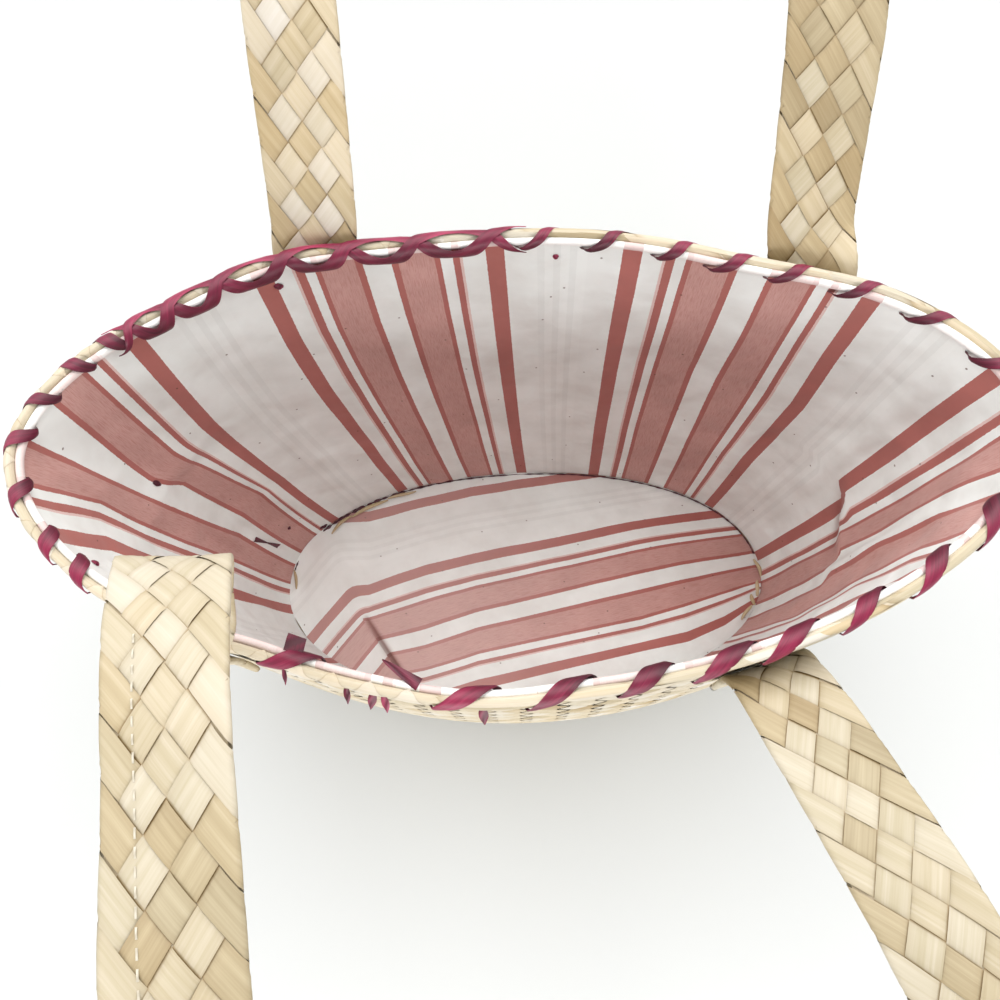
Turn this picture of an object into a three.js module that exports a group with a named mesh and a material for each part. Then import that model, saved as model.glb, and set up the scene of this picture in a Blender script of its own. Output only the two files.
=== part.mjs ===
// Plaited palm tote bag with a striped cotton lining and two flat plaited straps.
// Millimetres, +Z up, origin on the floor under the middle of the base, front towards -Y.
import * as THREE from "three";

// Sizes of the bag
const columns = 60;
const liningThick = 1.0;
const palmThick = 2.4;
const looseFit = 0.4;
const seamHeight = 4.2;
const rimHeight = 304;
const rimSag = 6.6;
const mouthShift = -7.7;
const baseOval = { halfLength: 187.3, halfDepth: 90.6, squareness: 2.13 };
const mouthOval = { halfLength: 229, halfDepth: 111.6, squareness: 1.86 };
const shellInner = liningThick + looseFit;
const shellOuter = shellInner + palmThick;

// Heights at which the wall and its lining have a ring, as shares of the way up to the rim
const wallShares = [0.08, 0.22, 0.38, 0.56, 0.76, 0.94];

// Rim roll and straps
const rollHalfWidth = 2.6;
const rollHalfHeight = 5.0;
const rollOut = shellInner + rollHalfWidth + 0.1;
const rollDrop = 2.0;
const strapWidth = 43;
const strapThick = 3.0;
const strapStep = 10;

// How far the wall swells outwards on the way up, as a share of the height
const belly = [
  { share: 0.0, out: 0.0 },
  { share: 0.12, out: 3.0 },
  { share: 0.3, out: 5.5 },
  { share: 0.5, out: 6.0 },
  { share: 0.7, out: 4.5 },
  { share: 0.88, out: 2.0 },
  { share: 1.0, out: 0.0 },
];
const frontFullness = 1.9;

// Where the straps and the lacing pull the mouth out of its oval
const rimPulls = [
  { name: "back left strap", angle: 122, spread: 12, out: 6.0 },
  { name: "back right strap", angle: 57, spread: 13, out: -5.0 },
  { name: "front, left of middle", angle: 262, spread: 10, out: 3.2 },
  { name: "front left strap", angle: 236, spread: 8, out: -3.0 },
];

// Soft folds of the wall lining, standing in from the palm
const wallFolds = [
  { name: "right tuck", angle: 8, spread: 3.5, middle: 0.38, reach: 0.28, depth: 3.5 },
  { name: "left pinch", angle: 176, spread: 5, middle: 0.62, reach: 0.2, depth: 2.5 },
  { name: "back left pleat", angle: 112, spread: 3.5, middle: 0.18, reach: 0.25, depth: 2.5 },
  { name: "back swag", angle: 80, spread: 16, middle: 0.8, reach: 0.16, depth: 2.0 },
];

// The ridge where the base lining is tucked over itself
const baseTucks = [
  { name: "left tuck", fromX: -120, fromY: -30, toX: -88, toY: -78, rise: 5.0, spread: 9 },
  { name: "right tuck", fromX: 128, fromY: -8, toX: 172, toY: 4, rise: 3.0, spread: 8 },
];

const degrees = (angle) => (angle * Math.PI) / 180;
const mix = (a, b, share) => a + (b - a) * share;
const signedPower = (value, power) => Math.sign(value) * Math.abs(value) ** power;

function fromTable(rows, share) {
  for (let i = 1; i < rows.length; i += 1) {
    if (share <= rows[i].share) {
      const part = (share - rows[i - 1].share) / (rows[i].share - rows[i - 1].share);
      return mix(rows[i - 1].out, rows[i].out, part);
    }
  }
  return rows[rows.length - 1].out;
}

function hump(distance, spread) {
  return Math.exp(-((distance / spread) ** 2));
}

function turnBetween(a, b) {
  return ((a - b + 540) % 360) - 180;
}

// A point of the wall: angle in degrees round the bag, share of the height, distance outwards
// from the lining's inner face, and a lift up or down from there.
function wallPoint(angle, share, out, lift = 0) {
  const t = degrees(angle);
  const halfLength = mix(baseOval.halfLength, mouthOval.halfLength, share);
  const halfDepth = mix(baseOval.halfDepth, mouthOval.halfDepth, share);
  const power = 2 / mix(baseOval.squareness, mouthOval.squareness, share);
  const normal = new THREE.Vector2(Math.cos(t) / halfLength, Math.sin(t) / halfDepth).normalize();
  const fullness = 0.45 + 0.55 * Math.cos(t) ** 2 + frontFullness * Math.max(0, -Math.sin(t)) ** 3;
  let push = out + fromTable(belly, share) * fullness;
  for (const pull of rimPulls) {
    push += pull.out * hump(turnBetween(angle, pull.angle), pull.spread) * share ** 3;
  }
  const top = rimHeight + rimSag * Math.cos(2 * t);
  return new THREE.Vector3(
    halfLength * signedPower(Math.cos(t), power) + mouthShift * share + normal.x * push,
    halfDepth * signedPower(Math.sin(t), power) + normal.y * push,
    mix(seamHeight, top, share) + lift,
  );
}

function foldDepth(angle, share) {
  let depth = 0;
  for (const fold of wallFolds) {
    const across = hump(turnBetween(angle, fold.angle), fold.spread);
    depth += fold.depth * across * hump(share - fold.middle, fold.reach);
  }
  return depth * Math.min(1, share * 12) * Math.min(1, (1 - share) * 12);
}

function tuckRise(x, y) {
  let rise = 0;
  for (const tuck of baseTucks) {
    const from = new THREE.Vector2(tuck.fromX, tuck.fromY);
    const line = new THREE.Vector2(tuck.toX, tuck.toY).sub(from);
    const point = new THREE.Vector2(x, y).sub(from);
    const along = THREE.MathUtils.clamp(point.dot(line) / line.lengthSq(), 0, 1);
    rise += tuck.rise * hump(point.sub(line.multiplyScalar(along)).length(), tuck.spread);
  }
  return rise;
}

function ring(pointAt) {
  const points = [];
  for (let i = 0; i < columns; i += 1) {
    points.push(pointAt((360 * i) / columns));
  }
  return points;
}

// A closed skin over rings of points. Ends are a middle point each, or the last ring meets the first.
// Both faces of a wall split their quads the same way, so that they stay parallel.
function skin(rings, middles) {
  const size = rings[0].length;
  const positions = [];
  const index = [];
  for (const points of rings) {
    for (const p of points) {
      positions.push(p.x, p.y, p.z);
    }
  }
  const bands = middles ? rings.length - 1 : rings.length;
  for (let r = 0; r < bands; r += 1) {
    const next = (r + 1) % rings.length;
    const low = r * size;
    const high = next * size;
    const rising = rings[r][0].z <= rings[next][0].z;
    for (let i = 0; i < size; i += 1) {
      const j = (i + 1) % size;
      if (rising) {
        index.push(low + i, low + j, high + j, low + i, high + j, high + i);
      } else {
        index.push(low + i, low + j, high + i, low + j, high + j, high + i);
      }
    }
  }
  if (middles) {
    const first = positions.length / 3;
    positions.push(middles[0].x, middles[0].y, middles[0].z);
    positions.push(middles[1].x, middles[1].y, middles[1].z);
    const last = (rings.length - 1) * size;
    for (let i = 0; i < size; i += 1) {
      const j = (i + 1) % size;
      index.push(first, j, i);
      index.push(first + 1, last + i, last + j);
    }
  }
  let volume = 0;
  const corner = (k) => new THREE.Vector3().fromArray(positions, index[k] * 3);
  for (let k = 0; k < index.length; k += 3) {
    volume += corner(k).dot(corner(k + 1).cross(corner(k + 2)));
  }
  if (volume < 0) {
    for (let k = 0; k < index.length; k += 3) {
      [index[k + 1], index[k + 2]] = [index[k + 2], index[k + 1]];
    }
  }
  const geometry = new THREE.BufferGeometry();
  geometry.setAttribute("position", new THREE.Float32BufferAttribute(positions, 3));
  geometry.setIndex(index);
  geometry.computeVertexNormals();
  return geometry;
}

function atHeight(point, z) {
  return new THREE.Vector3(point.x, point.y, z);
}

function inwards(point, share, z) {
  return new THREE.Vector3(point.x * share, point.y * share, z);
}

// The palm body: flat base with a soft edge, wall up to just under the rim roll
function basketShell() {
  const top = 1 - (rollDrop + rollHalfHeight + looseFit) / (rimHeight - seamHeight);
  const outer = [
    ring((angle) => inwards(wallPoint(angle, 0, shellOuter), 0.45, 0)),
    ring((angle) => atHeight(wallPoint(angle, 0, shellOuter - 9), 0)),
    ring((angle) => atHeight(wallPoint(angle, 0, shellOuter - 3), 1.6)),
    ring((angle) => atHeight(wallPoint(angle, 0.01, shellOuter), 6.5)),
  ];
  const inner = [];
  for (const share of wallShares) {
    outer.push(ring((angle) => wallPoint(angle, share, shellOuter)));
    inner.unshift(ring((angle) => wallPoint(angle, share, shellInner)));
  }
  outer.push(ring((angle) => wallPoint(angle, top, shellOuter)));
  inner.unshift(ring((angle) => wallPoint(angle, top, shellInner)));
  inner.push(ring((angle) => atHeight(wallPoint(angle, 0, shellInner), 3.2)));
  inner.push(ring((angle) => atHeight(wallPoint(angle, 0, shellInner - 0.8), palmThick)));
  inner.push(ring((angle) => inwards(wallPoint(angle, 0, shellInner), 0.45, palmThick)));
  return skin([...outer, ...inner], [new THREE.Vector3(0, 0, 0), new THREE.Vector3(0, 0, palmThick)]);
}

// The cotton of the wall, hung from the rim and stitched to the base panel
function liningWall() {
  const shares = [0, ...wallShares];
  const face = (share, out) => ring((angle) => wallPoint(angle, share, out - foldDepth(angle, share)));
  const outer = shares.map((share) => face(share, liningThick));
  const inner = shares.map((share) => face(share, 0)).reverse();
  const hem = [
    ring((angle) => wallPoint(angle, 1, liningThick, -0.6)),
    ring((angle) => wallPoint(angle, 1, 0, -0.6)),
  ];
  return skin([...outer, ...hem, ...inner]);
}

// The cotton oval on the base
function liningBase() {
  const underside = palmThick + looseFit;
  const layer = (share, thick) =>
    ring((angle) => {
      const flat = inwards(wallPoint(angle, 0, -looseFit), share, 0);
      return atHeight(flat, underside + thick + tuckRise(flat.x, flat.y));
    });
  const shares = [0.25, 0.5, 0.72, 0.88, 1];
  const under = shares.map((share) => layer(share, 0));
  const over = shares.map((share) => layer(share, liningThick)).reverse();
  const middles = [new THREE.Vector3(0, 0, underside), new THREE.Vector3(0, 0, underside + liningThick)];
  return skin([...under, ...over], middles);
}

// The folded palm edge along the mouth
function rimRoll() {
  const sides = 10;
  const rings = [];
  for (let k = 0; k < sides; k += 1) {
    const turn = degrees((360 * k) / sides + 18);
    const out = rollOut + rollHalfWidth * signedPower(Math.cos(turn), 0.7);
    const lift = -rollDrop + rollHalfHeight * signedPower(Math.sin(turn), 0.7);
    rings.push(ring((angle) => wallPoint(angle, 1, out, lift)));
  }
  return skin(rings);
}

// Strap routes, foot to foot. Rows with an angle lie on the wall, drop below the rim and out from
// the lining. The rest are free: the middle of the strap and the way its outer face looks.
const feet = (angle, rows) => rows.map(([drop, out]) => ({ angle, drop, out }));
const strapRoutes = {
  strap_back: [
    ...feet(117.3, [[60, 5.7], [30, 6.3], [12, 9.8]]),
    { x: -107.5, y: 121, z: 308, face: [0, 0.72, -0.7] },
    { x: -107, y: 152, z: 338, face: [-0.06, 0.7, -0.71] },
    { x: -106.5, y: 190, z: 373, face: [-0.29, 0.61, -0.74] },
    { x: -106, y: 252, z: 408, face: [-0.7, 0.35, -0.61] },
    { x: -90, y: 311, z: 419, face: [-0.79, 0.52, -0.33] },
    { x: -45, y: 353, z: 413, face: [-0.5, 0.83, -0.24] },
    { x: 16, y: 366, z: 408, face: [0, 0.95, -0.3] },
    { x: 77, y: 345, z: 413, face: [0.5, 0.83, -0.24] },
    { x: 122, y: 300, z: 419, face: [0.79, 0.52, -0.33] },
    { x: 139, y: 240, z: 408, face: [0.7, 0.35, -0.61] },
    { x: 140.5, y: 176, z: 375, face: [0.29, 0.61, -0.74] },
    { x: 140.5, y: 137, z: 338, face: [0.06, 0.7, -0.71] },
    { x: 140, y: 106, z: 309, face: [0, 0.72, -0.7] },
    ...feet(48.0, [[12, 9.8], [30, 6.3], [60, 5.7]]),
  ],
  strap_front: [
    ...feet(226.5, [[55, 6.3], [30, 7.0], [12, 10.6], [0, 12.5]]),
    { x: -152, y: -86, z: 326, face: [0, -0.96, 0.27] },
    { x: -148, y: -73, z: 343, face: [0, -0.9, 0.43] },
    { x: -145.5, y: -64.5, z: 354, face: [0, -1, 0.05] },
    { x: -141.5, y: -70, z: 367, face: [0, -0.75, -0.66] },
    { x: -135, y: -93, z: 385, face: [0.05, -0.55, -0.84] },
    { x: -131, y: -118, z: 392, face: [0.08, -0.12, -0.99] },
    { x: -128, y: -150, z: 390, face: [0.05, 0.06, -1] },
    { x: -123, y: -207, z: 385, face: [-0.28, 0, -0.96] },
    { x: -116, y: -258, z: 380, face: [-0.7, 0, -0.71] },
    { x: -88, y: -314, z: 372, face: [-0.79, -0.45, -0.42] },
    { x: -30, y: -358, z: 359, face: [-0.5, -0.84, -0.2] },
    { x: 38, y: -376, z: 347, face: [0.2, -0.97, -0.1] },
    { x: 100, y: -360, z: 337, face: [0.68, -0.7, -0.2] },
    { x: 138, y: -315, z: 332, face: [0.84, -0.28, -0.46] },
    { x: 145, y: -258, z: 331, face: [0.68, 0.18, -0.71] },
    { x: 135.5, y: -214, z: 324, face: [0.28, 0.3, -0.91] },
    { x: 120, y: -165, z: 306, face: [0, 0.34, -0.94] },
    { x: 108, y: -130, z: 291.5, face: [-0.05, 0.3, -0.95] },
    { x: 102, y: -113, z: 283, face: [0.1, -0.5, -0.86] },
    ...feet(299.2, [[34, 6.6], [48, 6.4], [62, 6.3]]),
  ],
};

// A flat band along a route, with the corners of its section broken
function strap(route) {
  const places = [];
  const faces = [];
  for (const row of route) {
    if (row.angle !== undefined) {
      const share = (rimHeight - row.drop - seamHeight) / (rimHeight - seamHeight);
      const here = wallPoint(row.angle, share, row.out);
      const along = wallPoint(row.angle + 5, share, row.out).sub(wallPoint(row.angle - 5, share, row.out));
      places.push(here);
      faces.push(new THREE.Vector3(along.y, -along.x, 0).normalize());
    } else {
      places.push(new THREE.Vector3(row.x, row.y, row.z));
      faces.push(new THREE.Vector3(...row.face).normalize());
    }
  }
  const path = new THREE.CatmullRomCurve3(places, false, "centripetal");
  const looks = new THREE.CatmullRomCurve3(faces, false, "centripetal");
  const steps = Math.round(path.getLength() / strapStep);
  const perRow = 6;
  const stations = [];
  for (let i = 0; i <= (places.length - 1) * perRow; i += 1) {
    stations.push(i / ((places.length - 1) * perRow));
  }
  const half = strapWidth / 2;
  const thick = strapThick / 2;
  const section = [
    [-half + 1, -thick],
    [half - 1, -thick],
    [half, 0],
    [half - 1, thick],
    [-half + 1, thick],
    [-half, 0],
  ];
  const kept = stations.filter((at, i) => i % Math.max(1, Math.round(stations.length / (steps * 1.2))) === 0);
  if (kept[kept.length - 1] !== 1) {
    kept.push(1);
  }
  const rings = kept.map((at) => {
    const along = path.getTangent(at);
    const middle = path.getPoint(at);
    const face = looks.getPoint(at);
    face.addScaledVector(along, -face.dot(along)).normalize();
    const across = along.clone().cross(face);
    return section.map(([wide, deep]) =>
      middle.clone().addScaledVector(across, wide).addScaledVector(face, deep),
    );
  });
  return skin(rings, [path.getPoint(0), path.getPoint(1)]);
}

function piece(name, geometry, colour, roughness) {
  const material = new THREE.MeshStandardMaterial({ color: colour, roughness, metalness: 0 });
  const mesh = new THREE.Mesh(geometry, material);
  mesh.name = name;
  return mesh;
}

const bag = new THREE.Group();
bag.name = "raffia_tote_bag";
bag.add(piece("basket_shell", basketShell(), "#dccda6", 0.7));
bag.add(piece("rim_roll", rimRoll(), "#e2d2a8", 0.65));
bag.add(piece("lining_wall", liningWall(), "#cfa9a6", 0.95));
bag.add(piece("lining_base", liningBase(), "#d2b0ad", 0.95));
bag.add(piece("strap_back", strap(strapRoutes.strap_back), "#dccba0", 0.65));
bag.add(piece("strap_front", strap(strapRoutes.strap_front), "#e3d5b0", 0.65));

export default bag;
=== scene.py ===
import math

import bpy
import numpy as np
from mathutils import Matrix, Vector


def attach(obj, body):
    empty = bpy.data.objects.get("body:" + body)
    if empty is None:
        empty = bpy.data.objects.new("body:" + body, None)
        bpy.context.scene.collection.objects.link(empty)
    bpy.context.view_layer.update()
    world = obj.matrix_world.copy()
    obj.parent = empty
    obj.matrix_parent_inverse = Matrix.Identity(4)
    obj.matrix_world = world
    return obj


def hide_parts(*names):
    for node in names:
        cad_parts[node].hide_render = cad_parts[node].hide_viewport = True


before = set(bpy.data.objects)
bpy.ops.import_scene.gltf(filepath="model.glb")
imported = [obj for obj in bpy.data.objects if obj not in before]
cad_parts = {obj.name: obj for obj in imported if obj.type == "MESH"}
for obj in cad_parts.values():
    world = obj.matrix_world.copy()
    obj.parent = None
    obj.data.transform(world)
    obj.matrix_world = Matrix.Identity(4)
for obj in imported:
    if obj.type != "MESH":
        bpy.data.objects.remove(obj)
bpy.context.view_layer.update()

# Palm body: dry palm leaf split into strips and plaited on the slant, one over and one under, from
# an oval base up a wall that flares to the mouth. The straps and the lacing pull the mouth a little
# out of its oval. A plain inner layer of palm closes the gaps between the strips.
mm = 0.001
seam_height = 4.2 * mm
rim_height = 304 * mm
rim_sag = 6.6 * mm
mouth_shift = -7.7 * mm
base_half = (187.3 * mm, 90.6 * mm)
mouth_half = (229 * mm, 111.6 * mm)
base_squareness = 2.13
mouth_squareness = 1.86
belly_swell = 6.0 * mm
belly_lean = 0.85
back_fullness, front_fullness = 0.45, 1.9
rim_pulls = [
    {"angle": 122, "spread": 12, "out": 6.0 * mm},
    {"angle": 57, "spread": 13, "out": -5.0 * mm},
    {"angle": 262, "spread": 10, "out": 3.2 * mm},
    {"angle": 236, "spread": 8, "out": -3.0 * mm},
]


def mix(low, high, share):
    return low + (high - low) * share


def smooth(low, high, value):
    share = np.clip((value - low) / (high - low), 0, 1)
    return share * share * (3 - 2 * share)


def hump(distance, spread):
    return np.exp(-((distance / spread) ** 2))


def signed_power(value, power):
    return np.sign(value) * np.abs(value) ** power


def turn_from(angle, middle):
    return (np.degrees(angle) - middle + 540) % 360 - 180


def wall_point(angle, share, out=0.0, lift=0.0):
    """A place on the wall: share runs from the base seam to the rim, out is measured square to the oval."""
    angle, share, out, lift = np.broadcast_arrays(angle, share, out, lift)
    length = mix(base_half[0], mouth_half[0], share)
    depth = mix(base_half[1], mouth_half[1], share)
    power = 2 / mix(base_squareness, mouth_squareness, share)
    across = np.stack([np.cos(angle) / length, np.sin(angle) / depth], -1)
    across = across / np.linalg.norm(across, axis=-1, keepdims=True)
    fullness = mix(back_fullness, 1, np.cos(angle) ** 2) + front_fullness * np.maximum(0, -np.sin(angle)) ** 3
    push = out + belly_swell * np.sin(np.pi * np.clip(share, 0, 1) ** belly_lean) * fullness
    for pull in rim_pulls:
        push = push + pull["out"] * hump(turn_from(angle, pull["angle"]), pull["spread"]) * share ** 3
    top = rim_height + rim_sag * np.cos(2 * angle)
    x = length * signed_power(np.cos(angle), power) + mouth_shift * share + across[..., 0] * push
    y = depth * signed_power(np.sin(angle), power) + across[..., 1] * push
    return np.stack([x, y, mix(seam_height, top, share) + lift], -1)


ring_angles = np.radians(np.linspace(0, 360, 1441))


def ring_arc(share):
    """Arc length round the wall at one height, at each of the ring angles."""
    steps = np.linalg.norm(np.diff(wall_point(ring_angles, share), axis=0), axis=1)
    return np.concatenate([[0], np.cumsum(steps)])


rim_arc = ring_arc(1.0)
rim_length = rim_arc[-1]


def angle_at(arc):
    return np.interp(np.asarray(arc) % rim_length, rim_arc, ring_angles)


def linear(code):
    values = [int(code[i:i + 2], 16) / 255 for i in (1, 3, 5)]
    return tuple(v / 12.92 if v <= 0.04045 else ((v + 0.055) / 1.055) ** 2.4 for v in values) + (1.0,)


def add(tree, kind, settings=None, stops=None, **inputs):
    """Adds a node, or takes one that is there, and sets its inputs by name or, as in at2, by number.

    A node that is given as an input is linked by its first output that is in use.
    """
    node = tree.nodes.new("ShaderNode" + kind) if isinstance(kind, str) else kind
    for key, value in (settings or {}).items():
        setattr(node, key, value)
    live = {socket.name: socket for socket in reversed(node.inputs) if socket.enabled}
    for key, value in inputs.items():
        socket = node.inputs[int(key[2:])] if key[:2] == "at" else live[key.replace("_", " ")]
        if isinstance(value, bpy.types.Node):
            value = next(output for output in value.outputs if output.enabled)
        if isinstance(value, bpy.types.NodeSocket):
            tree.links.new(value, socket)
        else:
            socket.default_value = value
    if stops:
        elements = node.color_ramp.elements
        while len(elements) < len(stops):
            elements.new(1.0)
        for element, (place, code) in zip(elements, stops):
            element.position = place
            element.color = linear(code)
    return node


colour_over = {"data_type": "RGBA"}
colour_times = {"data_type": "RGBA", "blend_type": "MULTIPLY"}


def grid(first, second):
    return np.meshgrid(first, second, indexing="ij")


def grid_faces(rows, columns, closed=False, flip=False):
    row, column = grid(np.arange(rows - 1), np.arange(columns if closed else columns - 1))
    beside = (column + 1) % columns
    corners = [row * columns + column, row * columns + beside]
    corners += [(row + 1) * columns + beside, (row + 1) * columns + column]
    faces = np.stack(corners, -1).reshape(-1, 4)
    return faces[:, ::-1] if flip else faces


def sheet_part(points, uv, values, closed=False, flip=False):
    rows, columns = points.shape[:2]
    spread = {key: np.broadcast_to(value, (rows, columns)) for key, value in values.items()}
    return {"points": points, "uv": uv, "faces": grid_faces(rows, columns, closed, flip), "values": spread}


def make_piece(name, material, parts, map_name):
    points, uvs, faces, start = [], [], [], 0
    for part in parts:
        spots = part["points"].reshape(-1, 3)
        points.append(spots)
        uvs.append(part["uv"].reshape(-1, 2))
        faces += (part["faces"] + start).tolist()
        start += len(spots)
    mesh = bpy.data.meshes.new(name)
    mesh.from_pydata(np.concatenate(points).tolist(), [], faces)
    corners = np.empty(len(mesh.loops), dtype=np.int32)
    mesh.loops.foreach_get("vertex_index", corners)
    layer = mesh.uv_layers.new(name=map_name)
    layer.data.foreach_set("uv", np.concatenate(uvs)[corners].astype(np.float32).ravel())
    for key in parts[0]["values"]:
        numbers = np.concatenate([np.ravel(part["values"][key]) for part in parts])
        mesh.attributes.new(key, "FLOAT", "POINT").data.foreach_set("value", numbers.astype(np.float32))
    mesh.polygons.foreach_set("use_smooth", [True] * len(mesh.polygons))
    mesh.materials.append(material)
    mesh.update()
    piece = bpy.data.objects.new(name, mesh)
    bpy.context.scene.collection.objects.link(piece)
    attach(piece, "root")
    return piece


# Strip measures, as shares of the spacing: half its width, how far it tucks under the next strip, half
# the stretch that lies flat, and how much its width and its line wander. Its dip under the next strip
# and the fall of its edges are shares of its lift.
strip_half, strip_tuck, strip_flat = 0.492, 0.13, 0.28
strip_widen, strip_wander = 0.035, 0.02
strip_dip, strip_fall = 1.6, 0.25
strip_kinds = 1024
half_run = [0.3, 0.47, 0.54, 0.5 + strip_tuck]
plain_run = np.array([-place for place in reversed(half_run)] + [0.0] + half_run)


def plait(crossings, surface, strip, lift, seed, tones, run=plain_run, columns=6, dim=lambda row: 0.0):
    """Patches of strip that lie over a crossing and dip under their neighbours, or run on over an edge."""
    table, shift, widen = np.random.default_rng(seed).normal(0, 1, (3, 2, strip_kinds))
    single = np.random.default_rng(seed + 1).normal(0, 1, (len(crossings), 2))
    p, q = grid(run, np.linspace(-strip_half, strip_half, columns))
    turned = np.where(p > 0, max(run) > 0.8, min(run) < -0.8) & (np.abs(p) > strip_flat)
    beyond = (np.abs(p) - half_run[0]) / (np.max(np.abs(run)) - half_run[0])
    square_cut = np.where(turned, np.clip(beyond, 0, 1), 0)
    dip = np.where(turned, 0, smooth(strip_flat, 0.5 + strip_tuck, np.abs(p)))
    height = lift * (1 - strip_dip * dip - strip_fall * np.abs(2 * q) ** 3)
    # Painted shade: the strip is darker where it dives under its neighbour and, a little, along its sides.
    under = np.where(turned, 0, smooth(0.45, 0.55, np.abs(p)))
    painted_shade = np.clip(under + 0.16 * smooth(0.8, 0.93, np.abs(2 * q)), 0, 1)
    parts = []
    for (u, v, hand), (own, own_warm) in zip(crossings, single):
        number = int(round(2 * (v - hand * u))) % strip_kinds
        family = tones["rising"] if hand > 0 else tones["falling"]
        way = int(hand > 0)
        aside = q * (1 + strip_widen * np.clip(widen[way, number], -2, 1))
        aside = aside + strip_wander * np.clip(shift[way, number], -1.5, 1.5)
        bent = p + hand * aside * square_cut
        spots = surface(u + 0.5 * bent - hand * 0.5 * aside, v + hand * 0.5 * bent + 0.5 * aside, height)
        values = {
            "tone": family["tone"] - dim(v) + tones["spread"] * (table[way, number] + 0.35 * own),
            "warm": np.clip(family["warm"] - 0.12 * table[way, number] + 0.12 * own_warm, 0, 1),
            "painted_shade": painted_shade,
        }
        uv = np.stack([q * strip + 0.37 * number * strip, p * strip + 0.61 * number * strip], -1)
        parts.append(sheet_part(spots, uv, values, flip=True))
    return parts


def start_material(name, map_name):
    material = bpy.data.materials.new(name)
    material.use_nodes = True
    tree = material.node_tree
    return material, tree, add(tree, "UVMap", {"uv_map": map_name})


def at_size(tree, place, width, length):
    """The unrolled place counted in a pattern's real widths and lengths."""
    return add(tree, "VectorMath", {"operation": "MULTIPLY"}, at0=place, at1=(1 / width, 1 / length, 1))


def palm_material(name, cool_stops, warm_stops):
    # Dry split palm leaf: the eye sees long fine fibres, a faint waxy gloss along them, and strips
    # that differ from grey cream to straw yellow. Painted shade darkens the colour where one strip goes
    # under the next, along the strips' sides and on the inner layers seen through the gaps.
    material, tree, place = start_material(name, "strip")
    fibre_place = at_size(tree, place, 0.8 * mm, 40 * mm)
    fibre = add(tree, "TexNoise", Vector=fibre_place, Scale=1.0, Detail=3.0, Roughness=0.6)
    streak_place = at_size(tree, place, 3.2 * mm, 70 * mm)
    streak = add(tree, "TexNoise", Vector=streak_place, Scale=1.0, Detail=2.0)
    tone, warm, painted_shade = [add(tree, "Attribute", {"attribute_name": key}).outputs["Fac"]
                        for key in ("tone", "warm", "painted_shade")]
    streaked = add(tree, "Math", {"operation": "MULTIPLY_ADD"}, at0=streak, at1=0.5, at2=tone)
    fibred = add(tree, "Math", {"operation": "MULTIPLY_ADD"}, at0=fibre, at1=0.36, at2=streaked)
    shade = add(tree, "Math", {"operation": "SUBTRACT"}, at0=fibred, at1=0.43)
    cool_ramp = add(tree, "ValToRGB", stops=cool_stops, Fac=shade)
    warm_ramp = add(tree, "ValToRGB", stops=warm_stops, Fac=shade)
    leaf = add(tree, "Mix", colour_over, Factor=warm, A=cool_ramp, B=warm_ramp)
    # Painted shade: the leaf colour is multiplied darker by the shade mask.
    shaded_leaf = add(tree, "Mix", colour_times, Factor=painted_shade, A=leaf, B=linear("#BFA982"))
    gloss = add(tree, "MapRange", Value=fibre, To_Min=0.42, To_Max=0.62)
    bump = add(tree, "Bump", Height=fibre, Strength=0.4, Distance=0.12 * mm)
    add(tree, tree.nodes["Principled BSDF"], Base_Color=shaded_leaf, Roughness=gloss, Normal=bump, IOR=1.45)
    return material


cool_palm = [(0.0, "#92866B"), (0.35, "#AEA389"), (0.65, "#C0B7A4"), (1.0, "#CDC6BC")]
warm_palm = [(0.0, "#927950"), (0.35, "#AF9971"), (0.65, "#C3B08D"), (1.0, "#CFC0A6")]
palm_leaf = palm_material("split_palm_leaf", cool_palm, warm_palm)
plait_columns = 64
plait_step = 17.0 * mm
plait_rows = 19
plait_strip = plait_step * 0.7
backing_depth = 0.8 * mm
palm_lift = 0.7 * mm
palm_seat = 2.7 * mm
base_turn = 5.6 * mm
under_reach = 20 * mm
floor_gap = 0.9 * mm
oval_margin, oval_squareness = 12 * mm, 2.1
wall_tones = {
    "spread": 0.13,
    "rising": {"tone": 0.68, "warm": 0.2},
    "falling": {"tone": 0.56, "warm": 0.55},
}


def body_surface(column, row, height):
    """Unrolled places on the outside of the bag: in under the base, round its edge and up the wall."""
    angle = angle_at(column / plait_columns * rim_length)
    run = row * plait_step - under_reach
    bend = np.clip(run / base_turn, 0, math.pi / 2)
    under = np.maximum(0, -run)
    climb = np.maximum(0, run - base_turn * math.pi / 2)
    share = np.clip((base_turn + climb - seam_height) / (rim_height - seam_height), 0, 0.985)
    out = palm_seat - base_turn * (1 - np.sin(bend)) - under + height * np.sin(bend)
    spots = wall_point(angle, share, out)
    low = floor_gap + base_turn * (1 - np.cos(bend)) - height * np.cos(bend)
    spots[..., 2] = np.where(climb > 0, spots[..., 2] + floor_gap * (1 - share), low)
    return spots


def base_surface(column, row, height):
    return np.stack([column * plait_step, -row * plait_step, floor_gap - height], -1)


def in_base_oval(x, y):
    length, depth = base_half[0] - oval_margin, base_half[1] - oval_margin
    return (abs(x) / length) ** oval_squareness + (abs(y) / depth) ** oval_squareness < 1


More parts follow.
